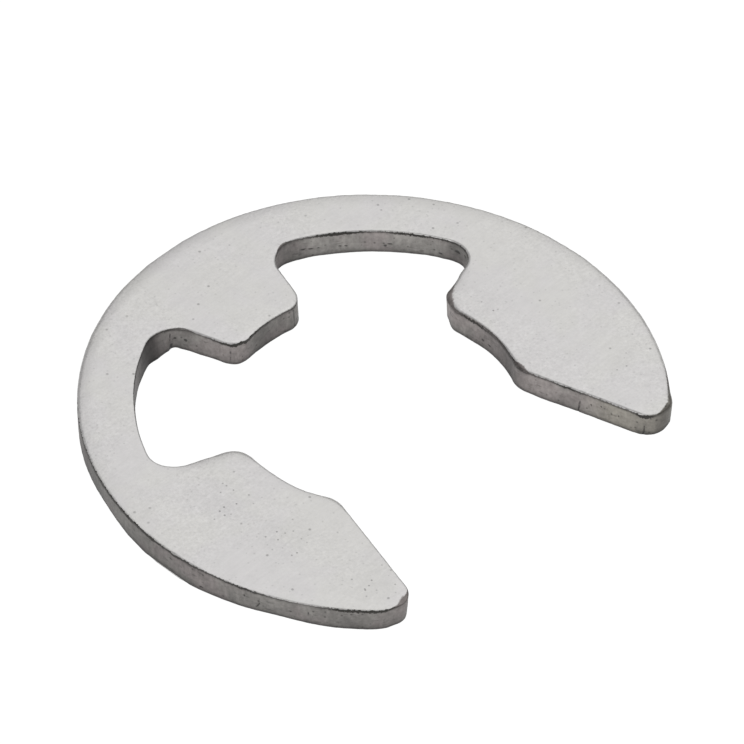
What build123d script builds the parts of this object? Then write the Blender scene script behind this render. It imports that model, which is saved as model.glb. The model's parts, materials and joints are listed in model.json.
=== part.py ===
"""E clip: a retaining ring of flat spring steel that is pushed sideways onto a grooved shaft.

One piece, blanked from sheet. A round rim carries three prongs that point inwards: one opposite
the mouth, and one on each of the two lobes beside it. A relief pocket on each side of the middle
prong leaves a thin band of rim, which bends when the clip snaps over the shaft.

Frame: the origin is the centre of the shaft, on the face that the clip lies on. +Z is the shaft's
axis, and the mouth opens towards -Y.
"""

from build123d import *
import os
from math import radians, sqrt, tan

# Sheet
thickness = 1.5
rolled_edge_radius = 0.2  # the top edge, drawn over as the clip was blanked
broken_edge_width = 0.08  # the underside's edge, broken by tumbling

# Circles about the shaft's centre
outer_diameter = 29.0
grip_diameter = 14.7  # through the tips of the three prongs, unloaded, for a groove of 15
pocket_diameter = 23.55  # through the floors of the relief pockets

# Angles, in degrees
middle_prong_angle = 35.8  # between the flanks of the middle prong
pocket_angle = 54.5  # from flank to flank of each pocket
mouth_flare_angle = 32.5  # between the straight edges of the mouth

# Mouth
mouth_width = 12.75  # where its straight edges start, on the grip circle

# Corner radii of the outline
lobe_tip_radius = 1.1
mouth_corner_radius = 1.7
side_prong_tip_radius = 1.2
middle_prong_tip_radius = 1.05
side_pocket_corner_radius = 1.4
middle_pocket_corner_radius = 1.6

# Derived
outer_radius = outer_diameter / 2
grip_radius = grip_diameter / 2
pocket_radius = pocket_diameter / 2
pocket_start_angle = 90 - middle_prong_angle / 2 - pocket_angle  # from the X axis

# Relief pocket on the right: a slice from the shaft's centre out to the pocket's floor, so that
# both flanks are radial
with BuildSketch() as pocket:
    with BuildLine():
        pocket_floor = CenterArc((0, 0), pocket_radius, pocket_start_angle, pocket_angle)
        Line((0, 0), pocket_floor @ 0)
        Line(pocket_floor @ 1, (0, 0))
    make_face()

# Right half of the mouth: its straight edge flares from the grip circle to the rim. It is drawn
# from the height of the shaft's centre, inside the grip circle, to a line level with the rim.
mouth_start_drop = sqrt(grip_radius**2 - (mouth_width / 2) ** 2)
mouth_slope = tan(radians(mouth_flare_angle / 2))
inner_half_width = mouth_width / 2 - mouth_start_drop * mouth_slope
outer_half_width = mouth_width / 2 + (outer_radius - mouth_start_drop) * mouth_slope
with BuildSketch() as half_mouth:
    with BuildLine():
        Polyline(
            (0, 0),
            (inner_half_width, 0),
            (outer_half_width, -outer_radius),
            (0, -outer_radius),
            close=True,
        )
    make_face()

# Every corner of the outline lies on one of the three circles. For each circle, the radii of the
# corners on its right half, counted from the mouth. A rounded corner leaves one end of its arc on
# the circle, so the next one is still found by its count.
corner_radii = [
    (outer_radius, [lobe_tip_radius]),
    (grip_radius, [mouth_corner_radius, side_prong_tip_radius, middle_prong_tip_radius]),
    (pocket_radius, [side_pocket_corner_radius, middle_pocket_corner_radius]),
]
on_circle_within = 0.001

# The outline, drawn on the right and mirrored
with BuildSketch() as outline:
    with Locations((outer_radius / 2, 0)):
        Rectangle(outer_radius, outer_diameter)
    Circle(outer_radius, mode=Mode.INTERSECT)
    Circle(grip_radius, mode=Mode.SUBTRACT)
    add(pocket.sketch, mode=Mode.SUBTRACT)
    add(half_mouth.sketch, mode=Mode.SUBTRACT)
    for circle_radius, radii in corner_radii:
        for place, corner_radius in enumerate(radii):
            on_circle = outline.vertices().filter_by(
                lambda at: abs(Vector(at.X, at.Y).length - circle_radius) < on_circle_within
            )
            fillet(on_circle.sort_by(Axis.Y)[place], corner_radius)
    mirror(about=Plane.YZ)

# The clip, flat on its underside
with BuildPart() as clip:
    add(outline.sketch)
    extrude(amount=thickness)
    fillet(clip.edges().group_by(Axis.Z)[-1], rolled_edge_radius)
    chamfer(clip.edges().group_by(Axis.Z)[0], broken_edge_width)

os.makedirs("parts", exist_ok=True)
clip.part.label = "clip"
export_step(clip.part, "parts/clip.step")
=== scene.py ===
"""Looks of the E clip: a tumbled steel stamping, with the edges that blanking leaves.

The CAD node is replaced by one closed mesh on the same outline. Its wall is built in columns
round the outline and in rows from the underside to the flat top, so that the die roll, the torn
edge under it, the sheared wall and the taper of the fracture are real shape. Lengths are in
millimetres until the mesh is made.
"""

import json
import math

import bpy
import numpy as np
from mathutils import Matrix, Vector, noise


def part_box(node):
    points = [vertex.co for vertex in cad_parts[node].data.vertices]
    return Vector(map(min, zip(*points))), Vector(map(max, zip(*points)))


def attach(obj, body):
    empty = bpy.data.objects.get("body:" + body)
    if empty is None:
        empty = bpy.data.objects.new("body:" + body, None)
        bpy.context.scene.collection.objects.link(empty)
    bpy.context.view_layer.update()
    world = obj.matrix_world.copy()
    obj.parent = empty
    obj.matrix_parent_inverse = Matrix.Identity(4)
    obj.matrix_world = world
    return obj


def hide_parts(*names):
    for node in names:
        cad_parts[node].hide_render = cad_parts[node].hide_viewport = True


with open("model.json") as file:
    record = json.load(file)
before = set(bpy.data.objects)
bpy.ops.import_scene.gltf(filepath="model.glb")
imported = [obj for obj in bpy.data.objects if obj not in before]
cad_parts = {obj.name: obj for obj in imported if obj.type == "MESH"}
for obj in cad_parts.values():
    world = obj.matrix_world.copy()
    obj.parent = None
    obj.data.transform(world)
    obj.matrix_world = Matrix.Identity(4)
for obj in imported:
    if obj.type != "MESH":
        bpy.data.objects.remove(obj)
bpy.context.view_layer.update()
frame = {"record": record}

MM = 0.001

# Sizes from the frame, in millimetres
clip_low, clip_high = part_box("clip")
OUTER_RADIUS = clip_high.x / MM
THICKNESS = clip_high.z / MM
mounts = {mount["name"]: mount for mount in frame["record"]["mounts"]}
GRIP_RADIUS = mounts["shaft_groove"]["dims"]["r_mm"]

# Sizes that the CAD part has, in millimetres and radians
POCKET_RADIUS = 11.775
MIDDLE_PRONG_ANGLE = math.radians(35.8)
POCKET_ANGLE = math.radians(54.5)
MOUTH_FLARE_ANGLE = math.radians(32.5)
MOUTH_WIDTH = 12.75
LOBE_TIP = 1.1
MOUTH_CORNER = 1.7
SIDE_PRONG_TIP = 1.2
MIDDLE_PRONG_TIP = 1.05
SIDE_POCKET_CORNER = 1.4
MIDDLE_POCKET_CORNER = 1.6
EDGE_BREAK = 0.08  # of the underside's edge

COLUMN_STEP = 0.06  # of the mesh, along the outline
RNG = np.random.default_rng(15)

# --- Outline -----------------------------------------------------------------------------------


def polar(radius, angle):
    return radius * np.array([math.cos(angle), math.sin(angle)])


def left_of(direction):
    return np.array([-direction[1], direction[0]])


def straight(name, start, end):
    length = np.linalg.norm(end - start)
    part = np.linspace(0, 1, max(2, round(length / COLUMN_STEP) + 1))[:, None]
    points = start + (end - start) * part
    normals = np.tile(left_of((end - start) / length), (len(points), 1))
    return name, points, normals


def arc(name, centre, start, end, bulge):
    """From start to end the short way round centre. bulge is 1 where steel fills it, else -1."""
    from_start, from_end = start - centre, end - centre
    radius = np.linalg.norm(from_start)
    first = math.atan2(from_start[1], from_start[0])
    turn = math.atan2(from_end[1], from_end[0]) - first
    turn = (turn + math.pi) % (2 * math.pi) - math.pi
    steps = max(2, round(radius * abs(turn) / COLUMN_STEP) + 1)
    angles = first + turn * np.linspace(0, 1, steps)
    outward = np.stack([np.cos(angles), np.sin(angles)], axis=1)
    return name, centre + radius * outward, bulge * outward


def corner(edge, circle_radius, radius, side, beyond):
    """The corner arc between a straight edge, (point, direction), and a circle about the origin.

    side is 1 where the arc's centre lies to the left of the edge, else -1, and beyond is 1
    where it lies outside the circle, else -1. Gives the centre, the arc's end on the circle and
    its end on the edge.
    """
    point, direction = edge
    sideways = left_of(direction) * side * radius
    start = point + sideways
    nearest = start - (start @ direction) * direction
    reach = circle_radius + beyond * radius
    centre = nearest + math.sqrt(reach**2 - nearest @ nearest) * direction
    return centre, centre / np.linalg.norm(centre) * circle_radius, centre - sideways


def half_outline():
    """The right half, clockwise from the back of the rim to the middle of the middle prong.

    Each stretch is (name, points, outward normals).
    """
    origin = np.zeros(2)
    drop = math.sqrt(GRIP_RADIUS**2 - (MOUTH_WIDTH / 2) ** 2)
    mouth = (np.array([MOUTH_WIDTH / 2, -drop]), polar(1, MOUTH_FLARE_ANGLE / 2 - math.pi / 2))
    middle_flank = (origin, polar(1, (math.pi - MIDDLE_PRONG_ANGLE) / 2))
    side_flank = (origin, polar(1, (math.pi - MIDDLE_PRONG_ANGLE) / 2 - POCKET_ANGLE))

    lobe, lobe_on_rim, lobe_on_mouth = corner(mouth, OUTER_RADIUS, LOBE_TIP, 1, -1)
    lip, lip_on_grip, lip_on_mouth = corner(mouth, GRIP_RADIUS, MOUTH_CORNER, 1, 1)
    tip, tip_on_grip, tip_on_flank = corner(side_flank, GRIP_RADIUS, SIDE_PRONG_TIP, -1, 1)
    low, low_on_floor, low_on_flank = corner(side_flank, POCKET_RADIUS, SIDE_POCKET_CORNER, 1, -1)
    high, high_on_floor, high_on_flank = corner(
        middle_flank, POCKET_RADIUS, MIDDLE_POCKET_CORNER, -1, -1
    )
    nose, nose_on_grip, nose_on_flank = corner(middle_flank, GRIP_RADIUS, MIDDLE_PRONG_TIP, 1, 1)
    return [
        arc("rim", origin, polar(OUTER_RADIUS, math.pi / 2), lobe_on_rim, 1),
        arc("lobe_tip", lobe, lobe_on_rim, lobe_on_mouth, 1),
        straight("mouth", lobe_on_mouth, lip_on_mouth),
        arc("mouth_corner", lip, lip_on_mouth, lip_on_grip, 1),
        arc("side_grip", origin, lip_on_grip, tip_on_grip, -1),
        arc("side_tip", tip, tip_on_grip, tip_on_flank, 1),
        straight("side_flank", tip_on_flank, low_on_flank),
        arc("side_pocket_corner", low, low_on_flank, low_on_floor, -1),
        arc("pocket_floor", origin, low_on_floor, high_on_floor, -1),
        arc("middle_pocket_corner", high, high_on_floor, high_on_flank, -1),
        straight("middle_flank", high_on_flank, nose_on_flank),
        arc("middle_tip", nose, nose_on_flank, nose_on_grip, 1),
        arc("middle_grip", origin, nose_on_grip, polar(GRIP_RADIUS, math.pi / 2), -1),
    ]


class Outline:
    """The columns round the whole outline: places, outward normals and the stretch of each."""

    def __init__(self):
        places, normals, names, along = [], [], [], []
        for side, stretches in (("right", half_outline()), ("left", half_outline()[::-1])):
            for name, points, outward in stretches:
                run = np.r_[0, np.cumsum(np.linalg.norm(np.diff(points, axis=0), axis=1))]
                if side == "left":
                    points = points[::-1] * (-1, 1)
                    outward = outward[::-1] * (-1, 1)
                    run = run[::-1]
                places.append(points[:-1])
                normals.append(outward[:-1])
                along.append(run[:-1])
                names += [f"{side} {name}"] * (len(points) - 1)
        self.places = np.concatenate(places)
        self.normals = np.concatenate(normals)
        self.names = np.array(names)
        self.along = np.concatenate(along)  # from the stretch's end nearer the back of the rim
        self.count = len(self.places)
        steps = np.linalg.norm(np.roll(self.places, -1, axis=0) - self.places, axis=1)
        self.run = np.r_[0, np.cumsum(steps)[:-1]]
        self.length = steps.sum()

    def on(self, *stretches):
        """1 on the columns of these stretches, on both sides, and 0 elsewhere."""
        bare = np.array([name.split(" ")[1] for name in self.names])
        return np.isin(bare, stretches).astype(float)

    def by_stretch(self, values):
        """The value of each column's stretch."""
        return np.array([values[name.split(" ")[1]] for name in self.names])

    def away(self, stretch, distance):
        """How far round the outline each column is from a place on one stretch, signed."""
        here = np.flatnonzero(self.names == stretch)
        nearest = here[np.argmin(np.abs(self.along[here] - distance))]
        around = self.run - self.run[nearest]
        return (around + self.length / 2) % self.length - self.length / 2

    def bumps(self, places):
        """The sum of smooth bumps, each (stretch, distance along it, half width, height)."""
        total = np.zeros(self.count)
        for stretch, distance, half_width, height in places:
            total += height * np.exp(-((self.away(stretch, distance) / half_width) ** 2))
        return total


outline = Outline()


def smoothed(values, length):
    """values round the outline, blurred over that length in millimetres."""
    reach = round(3 * length / COLUMN_STEP)
    steps = np.arange(-reach, reach + 1) * COLUMN_STEP
    weights = np.exp(-((steps / length) ** 2) / 2)
    wrapped = np.r_[values[-reach:], values, values[:reach]]
    return np.convolve(wrapped, weights / weights.sum(), mode="valid")


def wander(length):
    """Seeded noise round the outline with a standard deviation of 1, at that length."""
    values = smoothed(RNG.normal(size=outline.count), length)
    return (values - values.mean()) / values.std()


# --- What blanking left along the edge, with painted shade -------------------------------------

# By stretch: width and depth of the rounded edge and of the gentle shoulder behind it, in
# millimetres, then how far the wall's colour climbs onto the round (partly painted shade),
# how dark the tear line is (partly painted shadow under the roll), and how light the sheared
# wall is (its own tone, with painted shade in the pockets, inner corners and walls turned
# from the light)
EDGE_COLUMNS = (
    "round_width",
    "round_depth",
    "shoulder_width",
    "shoulder_depth",
    "smudge_and_shade",
    "tear_and_shadow",
    "shade",
)
EDGE = {
    "rim": (0.15, 0.040, 1.00, 0.085, 0.0, 0.7, 0.70),
    "lobe_tip": (0.20, 0.050, 0.75, 0.045, 0.2, 0.9, 0.66),
    "mouth": (0.12, 0.070, 0.35, 0.020, 0.0, 0.8, 1.24),
    "mouth_corner": (0.26, 0.120, 0.65, 0.055, 0.4, 0.4, 0.98),
    "side_grip": (0.16, 0.120, 0.60, 0.050, 0.1, 0.6, 0.76),
    "side_tip": (0.28, 0.140, 0.85, 0.100, 0.2, 0.4, 1.05),
    "side_flank": (0.18, 0.090, 0.75, 0.075, 0.1, 0.5, 1.0),
    "side_pocket_corner": (0.13, 0.080, 0.32, 0.025, 0.2, 0.7, 0.66),
    "pocket_floor": (0.11, 0.070, 0.25, 0.015, 0.0, 0.9, 1.24),
    "middle_pocket_corner": (0.16, 0.090, 0.30, 0.015, 0.2, 0.5, 0.65),
    "middle_flank": (0.11, 0.080, 0.28, 0.020, 0.0, 0.8, 1.08),
    "middle_tip": (0.18, 0.080, 0.40, 0.025, 0.1, 0.7, 0.78),
    "middle_grip": (0.14, 0.060, 0.38, 0.025, 0.1, 0.6, 0.94),
}
EDGE_BLUR = 0.3  # where two stretches meet


def along_edge(column, bumps=()):
    """That column of EDGE round the outline, with bumps added."""
    place = EDGE_COLUMNS.index(column)
    values = outline.by_stretch({stretch: row[place] for stretch, row in EDGE.items()})
    return smoothed(values, EDGE_BLUR) + outline.bumps(bumps)


def uneven(share, length):
    """1 round the outline, give or take that share, in seeded waves of that length."""
    return 1 + share * wander(length)


# The lists below are bumps: stretch, distance along it, half width and height
round_width = along_edge(
    "round_width",
    [
        ("right rim", 29.0, 6.0, 0.11),
        ("left rim", 8.0, 4.0, 0.05),
        ("right side_grip", 2.4, 2.6, -0.04),
        ("right lobe_tip", 0.1, 0.8, 0.18),
    ],
)
round_depth = along_edge(
    "round_depth",
    [
        ("left rim", 31.0, 3.5, 0.02),
        ("left rim", 8.5, 4.0, 0.04),
        ("right rim", 31.0, 6.0, 0.05),
        ("right lobe_tip", 0.2, 0.7, 0.10),
    ],
)
shoulder_width = along_edge(
    "shoulder_width",
    [
        ("right rim", 30.0, 6.0, -0.45),
        ("left rim", 8.0, 4.0, -0.20),
    ],
)
shoulder_depth = along_edge("shoulder_depth") * uneven(0.05, 3.0)
shoulder_depth += outline.bumps(
    [
        ("left rim", 26.0, 7.0, -0.035),
        ("left rim", 1.5, 3.0, 0.02),
        ("right rim", 30.0, 6.0, -0.02),
    ]
)
# How far the wall's colour climbs onto the round: partly duller worn steel, partly painted shade
# where the round turns from the light
smudge_and_shade = along_edge(
    "smudge_and_shade",
    [
        ("left lobe_tip", 1.2, 0.7, 1.3),
        ("right rim", 33.6, 1.8, 0.9),
        ("right lobe_tip", 0.4, 0.7, 0.7),
        ("left pocket_floor", 3.6, 3.8, 1.0),
        ("right side_tip", 1.5, 0.9, 1.2),
        ("right side_tip", 0.4, 0.9, 0.3),
        ("right side_grip", 2.0, 2.4, 0.70),
        ("left rim", 18.0, 5.0, 0.45),
        ("right middle_pocket_corner", 0.9, 0.5, 1.2),
        ("right mouth_corner", 0.65, 0.5, 0.8),
        ("left middle_pocket_corner", 2.3, 0.5, 0.7),
        ("left middle_grip", 0.8, 0.8, 0.3),
    ],
)
# How dark the tear line is: partly the torn burr, partly painted shadow under the roll's overhang
tear_and_shadow = along_edge(
    "tear_and_shadow",
    [
        ("left middle_pocket_corner", 1.9, 1.0, 0.8),
        ("left middle_flank", 1.2, 0.8, 0.4),
        ("left middle_tip", 0.8, 0.8, 0.8),
        ("right side_tip", 0.5, 0.6, -0.3),
        ("right side_grip", 1.4, 2.0, 0.9),
        ("right lobe_tip", 1.85, 0.35, 0.9),
        ("right lobe_tip", 0.9, 0.6, -0.7),
        ("left pocket_floor", 1.5, 2.0, 0.5),
        ("right pocket_floor", 4.0, 1.3, 0.90),
        ("right pocket_floor", 0.6, 0.9, -0.35),
        ("right pocket_floor", 7.3, 0.8, -0.30),
        ("right mouth", 0.6, 0.8, -0.20),
        ("right mouth", 4.0, 1.6, 0.20),
        ("left rim", 32.7, 2.2, 1.3),
        ("left rim", 34.3, 0.6, 0.7),
        ("left lobe_tip", 0.1, 0.7, 0.9),
        ("left rim", 17.0, 5.5, 1.3),
        ("left lobe_tip", 1.0, 0.5, -0.5),
    ],
)
tear_and_shadow *= np.clip(uneven(0.35, 0.8), 0, 2)
# How light the sheared wall is: its own tone, with painted shade in the pockets, in the inner
# corners and on walls that face away from the light
shade = along_edge("shade") * uneven(0.06, 1.5)
shade *= 1 + outline.bumps(
    [
        ("left rim", 27.8, 4.5, 0.29),
        ("left rim", 32.3, 3.4, 0.24),
        ("left rim", 20.2, 1.2, -0.16),
        ("left lobe_tip", 0.5, 0.5, 0.05),
        ("left pocket_floor", 5.2, 3.2, -0.62),
        ("left pocket_floor", 7.2, 0.9, -0.30),
        ("left rim", 15.0, 3.0, -0.30),
        ("left middle_grip", 1.0, 1.5, -0.65),
        ("left middle_pocket_corner", 0.4, 1.0, -0.3),
        ("left middle_pocket_corner", 1.3, 0.5, 0.42),
        ("left middle_pocket_corner", 2.3, 0.8, 0.38),
        ("right mouth_corner", 0.2, 0.5, 0.10),
        ("left middle_tip", 0.8, 0.8, 0.37),
        ("right middle_grip", 1.0, 1.5, 0.22),
        ("right side_tip", 0.4, 0.8, -0.05),
        ("right side_grip", 3.6, 0.8, 0.40),
        ("right side_grip", 0.4, 1.0, -0.50),
        ("right pocket_floor", 0.4, 0.8, -0.16),
        ("right pocket_floor", 3.2, 0.8, 0.10),
        ("right mouth", 0.5, 0.8, -0.12),
        ("right mouth", 5.1, 0.8, 0.14),
        ("right mouth", 3.6, 0.7, -0.10),
        ("right lobe_tip", 0.8, 0.6, -0.34),
        ("right lobe_tip", 1.7, 0.6, 0.20),
    ]
)

# The tear's height is ragged, more in some places than in others
RAGGEDNESS = 0.6
RAGGED_WAVES = ((0.012, 0.08), (0.010, 0.3))  # depth and length of each
LEAST_ROUND_DEPTH = 0.03
raggedness = RAGGEDNESS + outline.bumps(
    [
        ("left rim", 24.0, 3.0, 0.7),
        ("left rim", 32.5, 2.5, -0.4),
        ("left rim", 16.0, 5.0, -0.4),
        ("right lobe_tip", 1.8, 0.7, 0.2),
        ("right side_tip", 1.4, 1.0, 0.7),
        ("right side_grip", 2.5, 1.5, 0.4),
        ("left middle_tip", 0.6, 0.7, 0.5),
        ("left middle_grip", 0.8, 1.0, 0.5),
    ]
)
round_depth += raggedness * sum(depth * wander(length) for depth, length in RAGGED_WAVES)
round_depth = np.maximum(round_depth, LEAST_ROUND_DEPTH)
torn_edge = THICKNESS - shoulder_depth - round_depth

# Where the whole wall stands proud of the drawn outline or short of it, and where its foot does
PROUD = 0.012
proud = PROUD + outline.bumps(
    [
        ("left lobe_tip", 0.4, 0.5, -0.10),
        ("right lobe_tip", 0.0, 0.5, 0.09),
        ("left side_tip", 0.9, 0.8, 0.10),
        ("left side_flank", 1.4, 0.8, 0.06),
        ("left side_pocket_corner", 0.6, 0.7, 0.04),
        ("left side_grip", 3.2, 1.6, 0.08),
        ("left side_grip", 0.2, 0.7, 0.05),
        ("right side_tip", 0.7, 0.4, -0.05),
        ("right side_tip", 1.4, 0.4, 0.06),
        ("right side_flank", 1.45, 0.45, 0.06),
        ("left pocket_floor", 3.5, 1.8, 0.05),
        ("left mouth_corner", 0.7, 0.6, 0.07),
        ("left rim", 5.0, 6.0, 0.035),
        ("right rim", 5.0, 7.0, 0.035),
        ("right mouth_corner", 0.8, 0.5, 0.03),
    ]
)
spread = outline.bumps(
    [
        ("right side_tip", 1.15, 0.6, -0.12),
        ("left lobe_tip", 0.8, 1.0, -0.11),
        ("left rim", 17.7, 1.8, -0.09),
        ("left middle_pocket_corner", 0.75, 0.6, 0.28),
        ("left middle_pocket_corner", 1.35, 0.35, 0.09),
        ("left middle_pocket_corner", 1.65, 0.15, 0.03),
        ("right middle_pocket_corner", 0.1, 0.6, 0.07),
        ("right middle_pocket_corner", 1.3, 0.5, -0.08),
        ("right side_pocket_corner", 1.6, 0.6, -0.08),
        ("left middle_pocket_corner", 1.95, 0.25, -0.14),
        ("left pocket_floor", 7.4, 1.2, 0.09),
        ("left rim", 23.5, 2.4, 0.14),
        ("left rim", 29.2, 1.6, -0.13),
        ("right side_grip", 3.8, 1.2, 0.10),
        ("right pocket_floor", 0.8, 1.0, -0.07),
        ("right pocket_floor", 5.6, 1.6, 0.05),
        ("right middle_tip", 1.2, 1.2, 0.07),
        ("left middle_flank", 1.4, 0.6, -0.05),
        ("left middle_grip", 1.0, 0.6, 0.06),
        ("left middle_tip", 0.8, 0.3, 0.05),
        ("right mouth", 5.0, 0.8, 0.05),
        ("right lobe_tip", 0.4, 0.4, -0.05),
        ("right middle_grip", 1.0, 0.5, 0.04),
    ]
)

# The fracture: from its start downwards the rim's wall leans in and the inner walls lean out
RIM_LEAN = 0.03
INNER_LEAN = -0.025
LEAN_BLUR = 0.5  # where the two meet
FRACTURE_START = 0.55  # of the thickness, from the underside
FRACTURE_WANDER = 0.05
inside = smoothed(1 - outline.on("rim", "lobe_tip"), LEAN_BLUR)
lean = RIM_LEAN + (INNER_LEAN - RIM_LEAN) * inside
fracture_start = THICKNESS * (FRACTURE_START + FRACTURE_WANDER * wander(1.5))

# Upright scores in the wall: stretch, distance along it, heights of the two ends, how far the
# foot lies along the outline from the top, half the width, and depth as a share of SCORE_DEPTH
SCORES = (
    ("right mouth", 3.13, 0.88, 0.0, 0.08, 0.05, 1.0),
    ("right lobe_tip", 1.92, 0.80, 0.0, 0.03, 0.05, 0.8),
    ("left rim", 28.27, 1.12, 0.75, 0.05, 0.04, 0.8),
    ("left rim", 28.34, 0.78, 0.33, 0.24, 0.05, 1.0),
    ("left middle_pocket_corner", 1.68, 1.25, 0.45, 0.02, 0.05, 0.7),
    ("left middle_pocket_corner", 1.72, 0.50, 0.0, 0.02, 0.08, 1.1),
    ("left rim", 30.71, 0.95, 0.65, 0.0, 0.04, 0.8),
    ("left middle_tip", 0.43, 1.05, 0.25, 0.0, 0.06, 0.5),
    ("left middle_tip", 0.63, 0.95, 0.35, 0.0, 0.06, 0.4),
    ("right middle_tip", 1.15, 1.30, 0.1, 0.0, 0.05, 0.7),
)

# Torn marks along the wall: stretch, distance along it, height of the middle, and half of the
# mark's own length and height
MARKS = (
    ("right pocket_floor", 7.42, 0.66, 0.20, 0.05),
    ("right pocket_floor", 7.02, 0.60, 0.16, 0.04),
    ("right pocket_floor", 6.63, 0.57, 0.22, 0.04),
    ("right pocket_floor", 5.52, 0.54, 0.08, 0.04),
    ("right pocket_floor", 5.25, 0.51, 0.10, 0.05),
    ("right pocket_floor", 3.23, 0.48, 0.10, 0.07),
    ("right pocket_floor", 3.00, 0.60, 0.16, 0.03),
    ("right side_pocket_corner", 1.90, 0.84, 0.16, 0.10),
    ("right side_pocket_corner", 1.30, 0.95, 0.12, 0.06),
    ("right side_grip", 2.30, 0.50, 0.12, 0.04),
    ("right side_grip", 2.75, 0.55, 0.10, 0.07),
    ("right mouth", 1.02, 0.76, 0.04, 0.06),
    ("right mouth", 1.98, 0.95, 0.04, 0.05),
    ("right mouth", 2.50, 0.80, 0.05, 0.06),
    ("right lobe_tip", 1.60, 1.20, 0.06, 0.04),
    ("right lobe_tip", 1.85, 1.22, 0.06, 0.04),
    ("right pocket_floor", 0.45, 0.38, 0.14, 0.06),
    ("left middle_pocket_corner", 2.47, 0.72, 0.09, 0.08),
    ("left middle_pocket_corner", 1.93, 0.76, 0.07, 0.07),
    ("left rim", 27.50, 0.93, 0.04, 0.08),
    ("left rim", 29.85, 0.65, 0.08, 0.05),
    ("left rim", 23.21, 0.96, 0.14, 0.04),
    ("left rim", 25.13, 0.33, 0.16, 0.04),
)

# Warmer steel towards the right lobe's tip
warmth = outline.bumps(
    [
        ("right mouth", 1.2, 1.3, 1.0),
        ("right lobe_tip", 1.0, 1.5, 1.0),
    ]
)
warmth = np.clip(warmth, 0, 1)

# --- Mesh --------------------------------------------------------------------------------------

ROUND_ROWS = 6
SHOULDER_ROWS = 6
WALL_ROWS = 16
EDGE_ROWS = (0.13, 0.08, 0.045, 0.02, 0.0)  # how far below the torn edge the last ones lie

# Wear of the wall, in millimetres
SCORE_DEPTH = 0.03
SCORE_FADE = 0.12  # from each end of a score
MARK_DEPTH = 1.2  # as a share of SCORE_DEPTH
STRIATION_DEPTH = 0.003
STRIATION_LENGTHS = (0.09, 0.25)
LUMP_DEPTH = 0.006
LUMPS = ((0.55, 3.1), (0.45, 7.9))  # share and scale of each noise in them
LUMP_SQUEEZE = 0.6  # of the height at which they are read, so that they stand upright
WEAR_FADE = 0.1  # below the torn edge, where the wear fades out


def scores(height):
    """How deep in a score or mark each column is at a height, as a share of SCORE_DEPTH."""
    total = np.zeros(outline.count)
    for stretch, distance, top, foot, drift, half_width, depth in SCORES:
        part = np.clip((top - height) / (top - foot), 0, 1)
        across = (outline.away(stretch, distance) - drift * part) / half_width
        ends = np.clip((top - height) / SCORE_FADE, 0, 1)
        ends *= np.clip((height - foot) / SCORE_FADE + 0.5, 0, 1)
        total = np.maximum(total, depth * ends * np.exp(-(across**2)))
    for stretch, distance, middle, half_length, half_height in MARKS:
        across = (outline.away(stretch, distance) / half_length) ** 2
        upwards = ((height - middle) / half_height) ** 2
        total = np.maximum(total, MARK_DEPTH * np.exp(-across - upwards))
    return total


def roughness(height):
    """Seeded lumps of the torn wall, from about -1 to 1."""
    lumps = np.empty(outline.count)
    for column, (x, y) in enumerate(outline.places):
        at = Vector((x, y, height[column] * LUMP_SQUEEZE))
        lumps[column] = sum(share * noise.noise(at * scale) for share, scale in LUMPS)
    return lumps


striations = STRIATION_DEPTH * sum(wander(length) for length in STRIATION_LENGTHS)


def build_rows():
    """Rows of columns from the underside to the flat top, each a dict of arrays.

    A row has its inset from the outline, its height and its distance below the torn edge. steep
    is 1 on the wall and 0 on the flats, score says how worn it is there, and outer falls from 1 on
    the wall to 0 on the flats, for how far the wall's colour and painted shade climb onto the
    edge.
    """
    heights = [np.full(outline.count, EDGE_BREAK)]
    for row in range(1, WALL_ROWS + 1):
        heights.append(EDGE_BREAK + (torn_edge - EDGE_ROWS[0] - EDGE_BREAK) * row / WALL_ROWS)
    heights += [torn_edge - drop for drop in EDGE_ROWS[1:]]

    nothing = np.zeros(outline.count)
    rows = []
    for height in heights:
        fracture = lean * np.clip((fracture_start - height) / fracture_start, 0, 1)
        fracture -= spread * np.clip((torn_edge - height) / torn_edge, 0, 1)
        scored = scores(height)
        rough = striations + LUMP_DEPTH * roughness(height) + SCORE_DEPTH * scored
        rough *= np.clip((torn_edge - height) / WEAR_FADE, 0, 1)
        rows.append(
            {
                "inset": fracture + rough,
                "height": height,
                "below": torn_edge - height,
                "steep": np.ones(outline.count),
                "score": scored,
                "outer": np.ones(outline.count),
            }
        )
    foot = dict(rows[0])
    foot["inset"] = foot["inset"] + EDGE_BREAK
    for name in ("height", "steep", "outer"):
        foot[name] = nothing
    rows.insert(0, foot)

    for row in range(1, ROUND_ROWS + SHOULDER_ROWS + 1):
        turn = min(row / ROUND_ROWS, 1) * math.pi / 2
        inset = round_width * (1 - math.cos(turn))
        if row > ROUND_ROWS:
            part = (row - ROUND_ROWS) / SHOULDER_ROWS
            inset = round_width + (shoulder_width - round_width) * part
        share = inset / shoulder_width
        drop = shoulder_depth * (1 - 1.5 * share + 0.5 * share**3)  # runs level into the top
        height = THICKNESS - drop - round_depth * (1 - math.sin(turn))
        rows.append(
            {
                "inset": inset,
                "height": height,
                "below": torn_edge - height - inset,
                "steep": np.full(outline.count, 1 - math.sin(turn)),
                "score": nothing,
                "outer": 1 - share,
            }
        )
    return rows


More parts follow.
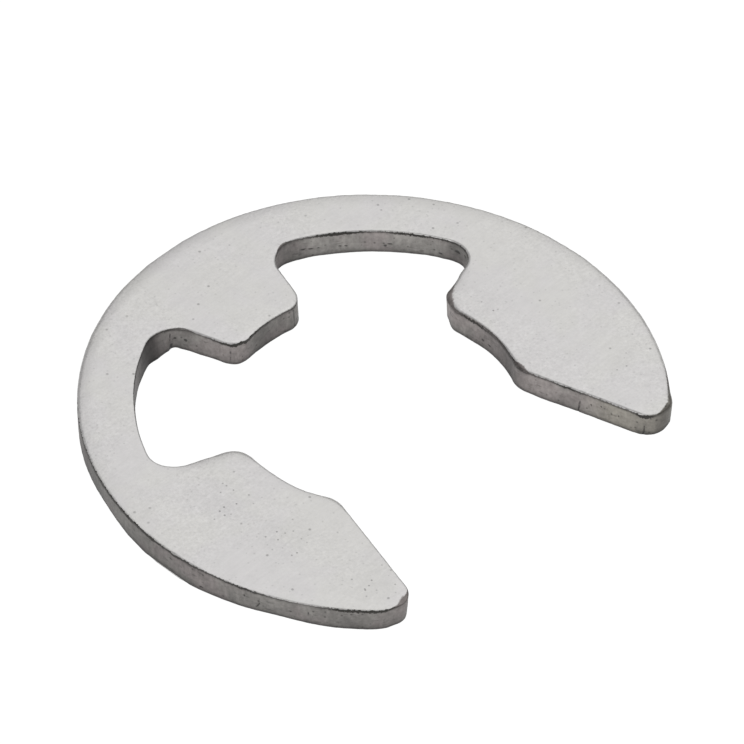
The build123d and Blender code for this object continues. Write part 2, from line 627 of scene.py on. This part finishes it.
def build_clip():
    rows = build_rows()
    count = outline.count
    vertices = []
    for row in rows:
        flat = outline.places + outline.normals * (proud - row["inset"])[:, None]
        vertices.append(np.column_stack([flat, row["height"]]))
    vertices = np.concatenate(vertices) * MM
    vertices = np.clip(vertices, np.array(clip_low), np.array(clip_high))

    faces = []
    following = np.roll(np.arange(count), -1)
    for row in range(len(rows) - 1):
        low, high = row * count, (row + 1) * count
        faces += [
            (low + a, high + a, high + b, low + b) for a, b in zip(range(count), following)
        ]
    underside = len(faces)
    faces.append(tuple(range(count)))
    faces.append(tuple(range(len(vertices) - 1, len(vertices) - count - 1, -1)))
    mesh = bpy.data.meshes.new("clip_steel")
    mesh.from_pydata(vertices.tolist(), [], faces)
    mesh.validate()
    mesh.shade_smooth()
    mesh.polygons[underside].use_smooth = False

    # What the material reads at each vertex
    looks = {name: [row[name] for row in rows] for name in ("below", "steep", "score")}
    looks["smudge_and_shade"] = [smudge_and_shade * row["outer"] for row in rows]
    for name, values in (("tear_and_shadow", tear_and_shadow), ("shade", shade), ("warm", warmth)):
        looks[name] = [values] * len(rows)
    for name, values in looks.items():
        attribute = mesh.attributes.new(name, "FLOAT", "POINT")
        attribute.data.foreach_set("value", np.concatenate(values).astype(np.float32))
    clip = bpy.data.objects.new("clip_steel", mesh)
    bpy.context.collection.objects.link(clip)
    return clip


# --- Materials ---------------------------------------------------------------------------------


class Nodes:
    """Short calls that add shader nodes to one material or world. Lengths are in millimetres."""

    def __init__(self, owner):
        owner.use_nodes = True
        self.tree = owner.node_tree
        self.tree.nodes.clear()

    def add(self, kind, inputs=None, **settings):
        node = self.tree.nodes.new(kind)
        for key, value in settings.items():
            setattr(node, key, value)
        for key, value in (inputs or {}).items():
            self.put(node, key, value)
        return node

    def put(self, node, key, value):
        if isinstance(value, bpy.types.NodeSocket):
            self.tree.links.new(value, node.inputs[key])
        else:
            node.inputs[key].default_value = value

    def math(self, operation, first, second=0.0, clamp=False):
        inputs = {0: first, 1: second}
        return self.add("ShaderNodeMath", inputs, operation=operation, use_clamp=clamp).outputs[0]

    def ramp(self, value, low, high, to_low=0.0, to_high=1.0):
        """value from low to high, smoothly, as to_low to to_high."""
        inputs = {"Value": value, "From Min": low, "From Max": high}
        inputs |= {"To Min": to_low, "To Max": to_high}
        node = self.add("ShaderNodeMapRange", inputs, interpolation_type="SMOOTHSTEP")
        return node.outputs["Result"]

    def around(self, value, swing):
        """1 where a noise value is 0.5, and more or less by swing times its distance from it."""
        return self.math("ADD", self.math("MULTIPLY", value, swing), 1 - swing / 2)

    def product(self, *values):
        total = values[0]
        for value in values[1:]:
            total = self.math("MULTIPLY", total, value)
        return total

    def less(self, value, clamp=False):
        """1 less that value."""
        return self.math("SUBTRACT", 1.0, value, clamp=clamp)

    def noise(self, place, scale, detail=2.0, rough=0.5):
        inputs = {"Vector": place, "Scale": scale, "Detail": detail, "Roughness": rough}
        return self.add("ShaderNodeTexNoise", inputs).outputs["Fac"]

    def stretched(self, place, scale, turn=0.0):
        inputs = {"Vector": place, "Scale": scale, "Rotation": (0, 0, turn)}
        return self.add("ShaderNodeMapping", inputs).outputs[0]

    def mix(self, factor, first, second):
        node = self.add("ShaderNodeMix", data_type="RGBA")
        for socket, value in ((0, factor), (6, first), (7, second)):
            self.put(node, socket, value)
        return node.outputs[2]

    def scaled(self, colour_in, factor):
        inputs = {0: colour_in, "Scale": factor}
        return self.add("ShaderNodeVectorMath", inputs, operation="SCALE").outputs[0]

    def patch(self, place, x, y, radius, core, height=1.0):
        """height round (x, y) on the top, out to that share of the radius, and 0 beyond it."""
        inputs = {0: place, 1: (x, y, THICKNESS)}
        away = self.add("ShaderNodeVectorMath", inputs, operation="DISTANCE").outputs["Value"]
        return self.ramp(away, radius, core * radius, 0.0, height)

    def pits(self, place, scale, radius, share):
        """Small ragged spots, in that share of the cells of a Voronoi pattern."""
        inputs = {"Vector": place, "Scale": scale}
        cells = self.add("ShaderNodeTexVoronoi", inputs).outputs
        lot = self.add("ShaderNodeSeparateColor", {0: cells["Color"]}).outputs[0]
        present = self.ramp(lot, 1 - share, 1 - share / 2)
        spot = self.ramp(cells["Distance"], radius * scale, radius * scale * SPOT_CORE)
        return self.product(spot, present)


def colour(red, green, blue):
    return (red, green, blue, 1.0)


FACE_COLOUR = colour(0.592, 0.584, 0.570)
COOL_FACE_COLOUR = colour(0.590, 0.579, 0.576)
# The wall colours are darker than the face: duller sheared steel, and partly painted shade for the
# darker surroundings that upright walls reflect
WALL_COLOUR = colour(0.266, 0.254, 0.241)
WARM_WALL_COLOUR = colour(0.290, 0.272, 0.242)
LILAC_WALL_COLOUR = colour(0.275, 0.250, 0.243)
# The dark tear line: partly the torn burr, partly painted shadow under the roll's overhang
TEAR_AND_SHADOW_COLOUR = colour(0.040, 0.037, 0.033)

# Where tumbling wore the face most: centre and radius
WORN_PATCHES = (
    (-9.1, -8.7, 1.6),
    (-10.3, 0.0, 2.0),
    (10.5, -7.0, 1.2),
    (-10.0, -4.0, 1.8),
    (8.5, 0.5, 1.2),
)
WORN_CORE = 0.3  # share of the radius where it is worst

# Where its grain is finer or coarser: centre, radius, and the change in the grain's strength
GRAIN_PATCHES = (
    (10.5, 0.0, 3.4, -0.45),
    (11.2, -2.8, 3.2, -0.45),
    (10.1, -5.7, 2.3, -0.50),
    (-12.1, -2.8, 2.4, -0.30),
    (-8.7, -3.4, 2.0, -0.30),
    (-9.3, -6.7, 2.0, 0.35),
    (-12.8, 2.6, 2.2, 0.30),
)
GRAIN_CORE = 0.2
LEAST_GRAIN = 0.25

# Noises: scale per millimetre, detail and roughness
PATCH_NOISE = (0.22, 1.0)
GRAIN_NOISE = (7.0, 2.5, 0.62)
CLOUD_NOISE = (1.6, 3.0, 0.6)
BRUSH_NOISE = (1.0, 3.0, 0.6)
STREAK_NOISE = (5.0, 2.0, 0.6)
DASH_NOISE = (2.6, 2.0, 0.6)
MOTTLE_NOISE = (4.5, 2.0, 0.6)
TONE_NOISE = (0.9, 2.0, 0.5)
FACE_TINT_NOISE = (0.35,)
WALL_TINT_NOISE = (0.4,)
JAG_NOISE = (7.5, 3.0, 0.7)
TEETH_NOISE = (9.0, 2.0, 0.6)

# How a noise is drawn out: scale along each axis and turn about Z
BRUSHED = ((0.5, 7.0, 1.0), 0.6)
CROSSED = ((0.4, 9.0, 1.0), -0.8)
UP_THE_WALL = ((1, 1, 0.22),)
ALONG_THE_WALL = ((0.45, 0.45, 2.0),)
TOOTHED = ((1, 1, 0.5),)

# Spots: scale per millimetre, radius and share of the cells that hold one
FACE_PITS = (1.4, 0.10, 0.7)
FACE_SPECKS = (3.4, 0.070, 0.7)
WALL_PITS = (2.8, 0.085, 0.75)
SPOT_CORE = 0.35  # share of the radius that is fully dark

# How far each noise swings the lightness, and how much each kind of spot darkens
GRAIN_SWING = 0.48
CLOUD_SWING = 0.12
BRUSHED_SWING = 0.10
CROSSED_SWING = 0.07
STREAK_SWING = 0.50
MOTTLE_SWING = 0.80
TONE_SWING = 0.7
FACE_PIT_DARK = 0.40
SPECK_DARK = 0.15
WORN_SPECK_DARK = 0.45  # more of it on the worn patches
WORN_DARK = 0.025
WALL_PIT_DARK = 0.50
SCORE_DARK = 0.72
SCORE_FRAY = 1.2  # of the mottle, on the border of a score

# Ramps: where they start and end, and what they give there where that isn't 0 and 1
PATCH_RAMP = (0.38, 0.62, 0.55, 1.15)
FACE_TINT_RAMP = (0.4, 0.6)
WALL_TINT_RAMP = (0.42, 0.58)
# The wall lightens upwards, partly its burnished band and partly painted shade, and darkens at the
# foot, where painted contact shade and a burr line run
WALL_UPWARDS = (0.1, 1.3, 0.90, 1.10)
WALL_DASHES = (0.62, 0.70, 1.0, 0.70)
WALL_FOOT_SHADE = (0.0, 0.45, 0.5, 1.0)
WALL_FOOT_BURR_AND_SHADE = (0.14, 0.27, 0.70, 1.0)
# Painted shadow on the wall just under the tear line
WALL_SHADE_UNDER_TEAR = (0.03, 0.22, 0.72, 1.0)
SCORE_RAMP = (0.25, 0.75)
SHEARED_RAMP = (0.85, 0.97)
BORDER_RAMP = (0.80, 1.08)
BORDER_SWING = 0.55
ROUGHNESS_RAMP = (0.3, 0.7, 0.28, 0.36)
SHEARED_ROUGHER = 0.25
SHEARED_LESS_METALLIC = 0.5

# Relief too fine for the mesh
BUMP_STRENGTH = 0.5
BUMP_HEIGHT = 0.01 * MM
WALL_RELIEF = 0.6

# The tear line, partly the torn burr and partly painted shadow under the roll: how far it reaches
# down and up from the torn edge, by the noise and by its darkness
TEAR_DOWN = (0.3, 0.7, 0.03, 0.10)
TEAR_UP = (0.42, 0.68, 0.015, 0.08)
DARK_TEAR_AND_SHADOW_TIMES = (0.3, 1.3, 0.6, 1.5)
DARK_TEAR_AND_SHADOW_MORE = (0.9, 1.9, 0.0, 0.08)
TEAR_SOFTNESS = (-0.02, 0.02)
TEAR_AND_SHADOW_STRENGTH = 0.85


def face_shade(nodes, place):
    """Lightness of the flat faces, and their grain: patches, faint brush marks and dark pits."""
    patch = nodes.ramp(nodes.noise(place, *PATCH_NOISE), *PATCH_RAMP)
    for x, y, radius, change in GRAIN_PATCHES:
        patch = nodes.math("ADD", patch, nodes.patch(place, x, y, radius, GRAIN_CORE, change))
    patch = nodes.math("MAXIMUM", patch, LEAST_GRAIN)
    worst = 0.0
    for x, y, radius in WORN_PATCHES:
        worst = nodes.math("ADD", worst, nodes.patch(place, x, y, radius, WORN_CORE))
    grain = nodes.noise(place, *GRAIN_NOISE)
    cloud = nodes.noise(place, *CLOUD_NOISE)
    brushed = nodes.noise(nodes.stretched(place, *BRUSHED), *BRUSH_NOISE)
    crossed = nodes.noise(nodes.stretched(place, *CROSSED), *BRUSH_NOISE)
    pits = nodes.pits(place, *FACE_PITS)
    specks = nodes.pits(place, *FACE_SPECKS)
    speck_dark = nodes.math("ADD", nodes.math("MULTIPLY", worst, WORN_SPECK_DARK), SPECK_DARK)
    dark = nodes.math(
        "ADD", nodes.math("MULTIPLY", pits, FACE_PIT_DARK), nodes.product(specks, speck_dark)
    )
    worn = nodes.product(patch, nodes.math("SUBTRACT", grain, 0.5), GRAIN_SWING)
    lightness = nodes.product(
        nodes.math("ADD", worn, 1.0),
        nodes.around(cloud, CLOUD_SWING),
        nodes.around(brushed, BRUSHED_SWING),
        nodes.around(crossed, CROSSED_SWING),
        nodes.less(nodes.product(worst, WORN_DARK)),
        nodes.less(dark),
    )
    return lightness, grain


def wall_shade(nodes, place, height, below, shade, score):
    """Lightness of the sheared wall, and its mottle: streaked and pitted, with painted shade at
    the foot and under the tear line.
    """
    streaks = nodes.noise(nodes.stretched(place, *UP_THE_WALL), *STREAK_NOISE)
    dashes = nodes.noise(nodes.stretched(place, *ALONG_THE_WALL), *DASH_NOISE)
    mottle = nodes.noise(place, *MOTTLE_NOISE)
    tone = nodes.noise(place, *TONE_NOISE)
    pits = nodes.pits(place, *WALL_PITS)
    fray = nodes.math("MULTIPLY", nodes.math("SUBTRACT", mottle, 0.5), SCORE_FRAY)
    scored = nodes.ramp(nodes.math("ADD", score, fray), *SCORE_RAMP)
    dark = nodes.math(
        "ADD", nodes.math("MULTIPLY", pits, WALL_PIT_DARK), nodes.product(scored, SCORE_DARK)
    )
    lightness = nodes.product(
        shade,
        nodes.ramp(height, *WALL_UPWARDS),
        nodes.around(streaks, STREAK_SWING),
        nodes.around(mottle, MOTTLE_SWING),
        nodes.around(tone, TONE_SWING),
        nodes.ramp(dashes, *WALL_DASHES),
        nodes.ramp(height, *WALL_FOOT_SHADE),
        nodes.ramp(height, *WALL_FOOT_BURR_AND_SHADE),
        nodes.ramp(below, *WALL_SHADE_UNDER_TEAR),
        nodes.less(dark, clamp=True),
    )
    return lightness, mottle


def tear_and_shadow_line(nodes, place, jag, below, tear_and_shadow):
    """How much of the tear line shows: a thin dark ragged line just under the roll, partly the
    torn burr and partly painted shadow.
    """
    teeth = nodes.noise(nodes.stretched(place, *TOOTHED), *TEETH_NOISE)
    down = nodes.product(nodes.ramp(jag, *TEAR_DOWN), nodes.ramp(tear_and_shadow, *DARK_TEAR_AND_SHADOW_TIMES))
    down = nodes.math("ADD", down, nodes.ramp(tear_and_shadow, *DARK_TEAR_AND_SHADOW_MORE))
    up = nodes.ramp(teeth, *TEAR_UP)
    return nodes.product(
        nodes.ramp(nodes.math("SUBTRACT", down, below), *TEAR_SOFTNESS),
        nodes.ramp(nodes.math("ADD", below, up), *TEAR_SOFTNESS),
        tear_and_shadow,
        TEAR_AND_SHADOW_STRENGTH,
    )


def steel_material():
    material = bpy.data.materials.new("tumbled_steel")
    nodes = Nodes(material)
    place = nodes.add("ShaderNodeTexCoord").outputs["Object"]
    place = nodes.scaled(place, 1 / MM)
    height = nodes.add("ShaderNodeSeparateXYZ", {0: place}).outputs["Z"]
    below, steep, score, smudged_and_shaded, tear_and_shadow_dark, wall_light, warm = (
        nodes.add("ShaderNodeAttribute", attribute_name=name).outputs["Fac"]
        for name in ("below", "steep", "score", "smudge_and_shade", "tear_and_shadow", "shade", "warm")
    )
    face_lightness, grain = face_shade(nodes, place)
    face = nodes.ramp(nodes.noise(place, *FACE_TINT_NOISE), *FACE_TINT_RAMP)
    face = nodes.mix(face, FACE_COLOUR, COOL_FACE_COLOUR)
    face = nodes.scaled(face, face_lightness)
    wall_lightness, mottle = wall_shade(nodes, place, height, below, wall_light, score)
    wall = nodes.ramp(nodes.noise(place, *WALL_TINT_NOISE), *WALL_TINT_RAMP)
    wall = nodes.mix(wall, WALL_COLOUR, LILAC_WALL_COLOUR)
    wall = nodes.mix(warm, wall, WARM_WALL_COLOUR)
    wall = nodes.scaled(wall, wall_lightness)

    # The wall's colour climbs onto the roll up to a ragged border: painted shade where the round
    # turns steep and at the smudged spots, partly duller worn steel
    jag = nodes.noise(place, *JAG_NOISE)
    swing = nodes.math("MULTIPLY", nodes.math("SUBTRACT", jag, 0.5), BORDER_SWING)
    border = nodes.math("ADD", nodes.math("ADD", steep, smudged_and_shaded), swing)
    sheared = nodes.ramp(steep, *SHEARED_RAMP)
    base = nodes.mix(
        nodes.math("MAXIMUM", nodes.ramp(border, *BORDER_RAMP), sheared), face, wall
    )
    # The dark tear line, partly the torn burr and partly painted shadow under the roll
    base = nodes.mix(tear_and_shadow_line(nodes, place, jag, below, tear_and_shadow_dark), base, TEAR_AND_SHADOW_COLOUR)

    relief = nodes.math("ADD", nodes.product(mottle, steep, WALL_RELIEF), grain)
    bump = {"Strength": BUMP_STRENGTH, "Distance": BUMP_HEIGHT, "Height": relief}
    bump = nodes.add("ShaderNodeBump", bump).outputs[0]
    rough = nodes.ramp(grain, *ROUGHNESS_RAMP)
    rough = nodes.math("ADD", rough, nodes.math("MULTIPLY", sheared, SHEARED_ROUGHER))
    metallic = nodes.less(nodes.math("MULTIPLY", sheared, SHEARED_LESS_METALLIC))
    shader = nodes.add(
        "ShaderNodeBsdfPrincipled",
        {"Base Color": base, "Metallic": metallic, "Roughness": rough, "Normal": bump},
    )
    nodes.add("ShaderNodeOutputMaterial", {"Surface": shader.outputs[0]})
    return material


clip = build_clip()
clip.data.materials.append(steel_material())
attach(clip, "root")
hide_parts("clip")

# --- Floor -------------------------------------------------------------------------------------

FLOOR_SIZE = 2.0
FLOOR_GAP = 0.02 * MM  # under the clip
FLOOR_COLOUR = colour(0.95, 0.95, 0.95)
FLOOR_GLOW = 1.1
FLOOR_GLOW_SHARE = 0.88  # the rest shows the clip's shadow
WHITE = colour(1, 1, 1)


def floor_material():
    """White to the camera and in reflections, where it glows, and plain pale paper elsewhere."""
    material = bpy.data.materials.new("white_floor")
    nodes = Nodes(material)
    path = nodes.add("ShaderNodeLightPath").outputs
    seen = nodes.math("ADD", path["Is Camera Ray"], path["Is Glossy Ray"])
    seen = nodes.math("ADD", seen, path["Is Transmission Ray"], clamp=True)
    share = nodes.math("MULTIPLY", seen, FLOOR_GLOW_SHARE)
    paper = nodes.add("ShaderNodeBsdfDiffuse", {"Color": FLOOR_COLOUR})
    glow = nodes.add("ShaderNodeEmission", {"Color": WHITE, "Strength": FLOOR_GLOW})
    both = nodes.add("ShaderNodeMixShader", {0: share, 1: paper.outputs[0], 2: glow.outputs[0]})
    nodes.add("ShaderNodeOutputMaterial", {"Surface": both.outputs[0]})
    return material


bpy.ops.mesh.primitive_plane_add(size=FLOOR_SIZE, location=(0, 0, clip_low.z - FLOOR_GAP))
floor = bpy.context.object
floor.name = "floor"
floor.data.materials.append(floor_material())

# --- Light -------------------------------------------------------------------------------------
#
# Plain soft light: an even world, a large softbox overhead, where the flat top reflects it, and a
# small one in front for the walls. They are placed by the camera's direction.

AZIMUTH = math.radians(-46.90)
WORLD_LEVEL = 0.50


def light_world():
    world = bpy.data.worlds.new("studio")
    bpy.context.scene.world = world
    nodes = Nodes(world)
    even = nodes.add("ShaderNodeBackground", {"Color": WHITE, "Strength": WORLD_LEVEL})
    nodes.add("ShaderNodeOutputWorld", {"Surface": even.outputs[0]})


def add_softbox(name, place, size, energy):
    """A softbox that faces the object from place, in metres to its right, away and up."""
    light = bpy.data.lights.new(name, "AREA")
    light.shape = "RECTANGLE"
    light.size, light.size_y = size
    light.energy = energy
    softbox = bpy.data.objects.new(name, light)
    sideways = Vector((math.cos(AZIMUTH), math.sin(AZIMUTH), 0))
    onwards = Vector((-math.sin(AZIMUTH), math.cos(AZIMUTH), 0))
    softbox.location = sideways * place[0] + onwards * place[1] + Vector((0, 0, place[2]))
    softbox.rotation_euler = softbox.location.to_track_quat("Z", "Y").to_euler()
    softbox.visible_camera = False
    bpy.context.collection.objects.link(softbox)


light_world()
add_softbox("overhead_softbox", place=(0.20, 0.42, 0.90), size=(1.35, 1.5), energy=4.05)
add_softbox("front_softbox", place=(-0.35, -0.85, 0.40), size=(0.6, 0.6), energy=1.1)

# --- Camera ------------------------------------------------------------------------------------

ELEVATION = math.radians(44.34)
ROLL = math.radians(-1.214)
CAMERA_DISTANCE = 24.440 * OUTER_RADIUS * MM
AIM = Vector((0.1523, 0.1550, 0)) * OUTER_RADIUS * MM
LENS = 347.32
SENSOR_WIDTH = 36

level = math.cos(ELEVATION)
back = Vector((math.sin(AZIMUTH) * level, -math.cos(AZIMUTH) * level, math.sin(ELEVATION)))
right = Vector((math.cos(AZIMUTH), math.sin(AZIMUTH), 0))
up = back.cross(right)
axes = Matrix((right, up, back)).transposed() @ Matrix.Rotation(-ROLL, 3, "Z")
camera_data = bpy.data.cameras.new("camera")
camera_data.lens = LENS
camera_data.sensor_width = SENSOR_WIDTH
camera = bpy.data.objects.new("camera", camera_data)
camera.matrix_world = Matrix.Translation(AIM + back * CAMERA_DISTANCE) @ axes.to_4x4()
bpy.context.collection.objects.link(camera)
bpy.context.scene.camera = camera

bpy.context.scene.view_settings.view_transform = "Standard"
